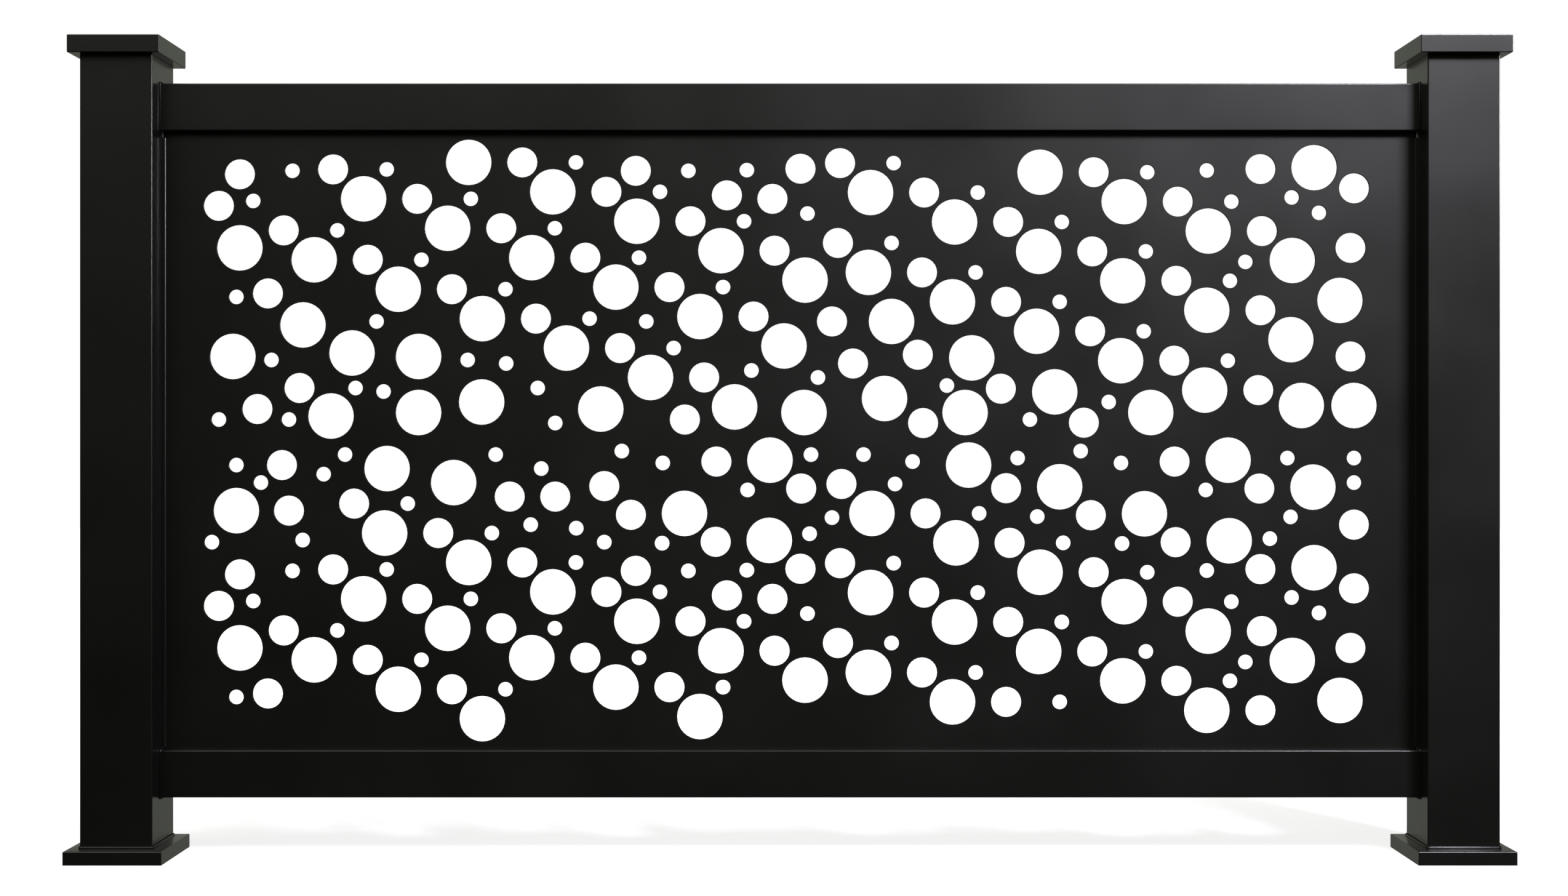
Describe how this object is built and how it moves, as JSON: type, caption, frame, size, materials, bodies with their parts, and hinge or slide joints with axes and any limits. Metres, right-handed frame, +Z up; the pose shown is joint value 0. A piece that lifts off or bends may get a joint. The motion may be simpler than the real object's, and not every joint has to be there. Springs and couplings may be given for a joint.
{
  "type": "perforated fence panel with posts",
  "caption": "Black fence panel: a sheet with scattered round holes, set in two slotted rails and held by slim beads between two capped square posts on foot plates.",
  "frame": {"origin": "middle of the left foot plate's underside, where the fence stands on the ground", "axes": "+X along the panel from the left post to the right post, +Z up, the front faces -Y"},
  "size_m": [2.0294, 0.138, 1.1602],
  "materials": {
    "powder_coat": "satin black powder coat",
    "sheet_coat": "matt black powder coat"
  },
  "bodies": {
    "root": {"left_post": "powder_coat", "right_post": "powder_coat", "left_post_cap": "powder_coat", "right_post_cap": "powder_coat", "left_post_foot": "powder_coat", "right_post_foot": "powder_coat", "top_rail": "powder_coat", "bottom_rail": "powder_coat", "perforated_sheet": "sheet_coat", "front_left_bead": "powder_coat", "front_right_bead": "powder_coat", "back_left_bead": "powder_coat", "back_right_bead": "powder_coat"}
  },
  "joints": []
}
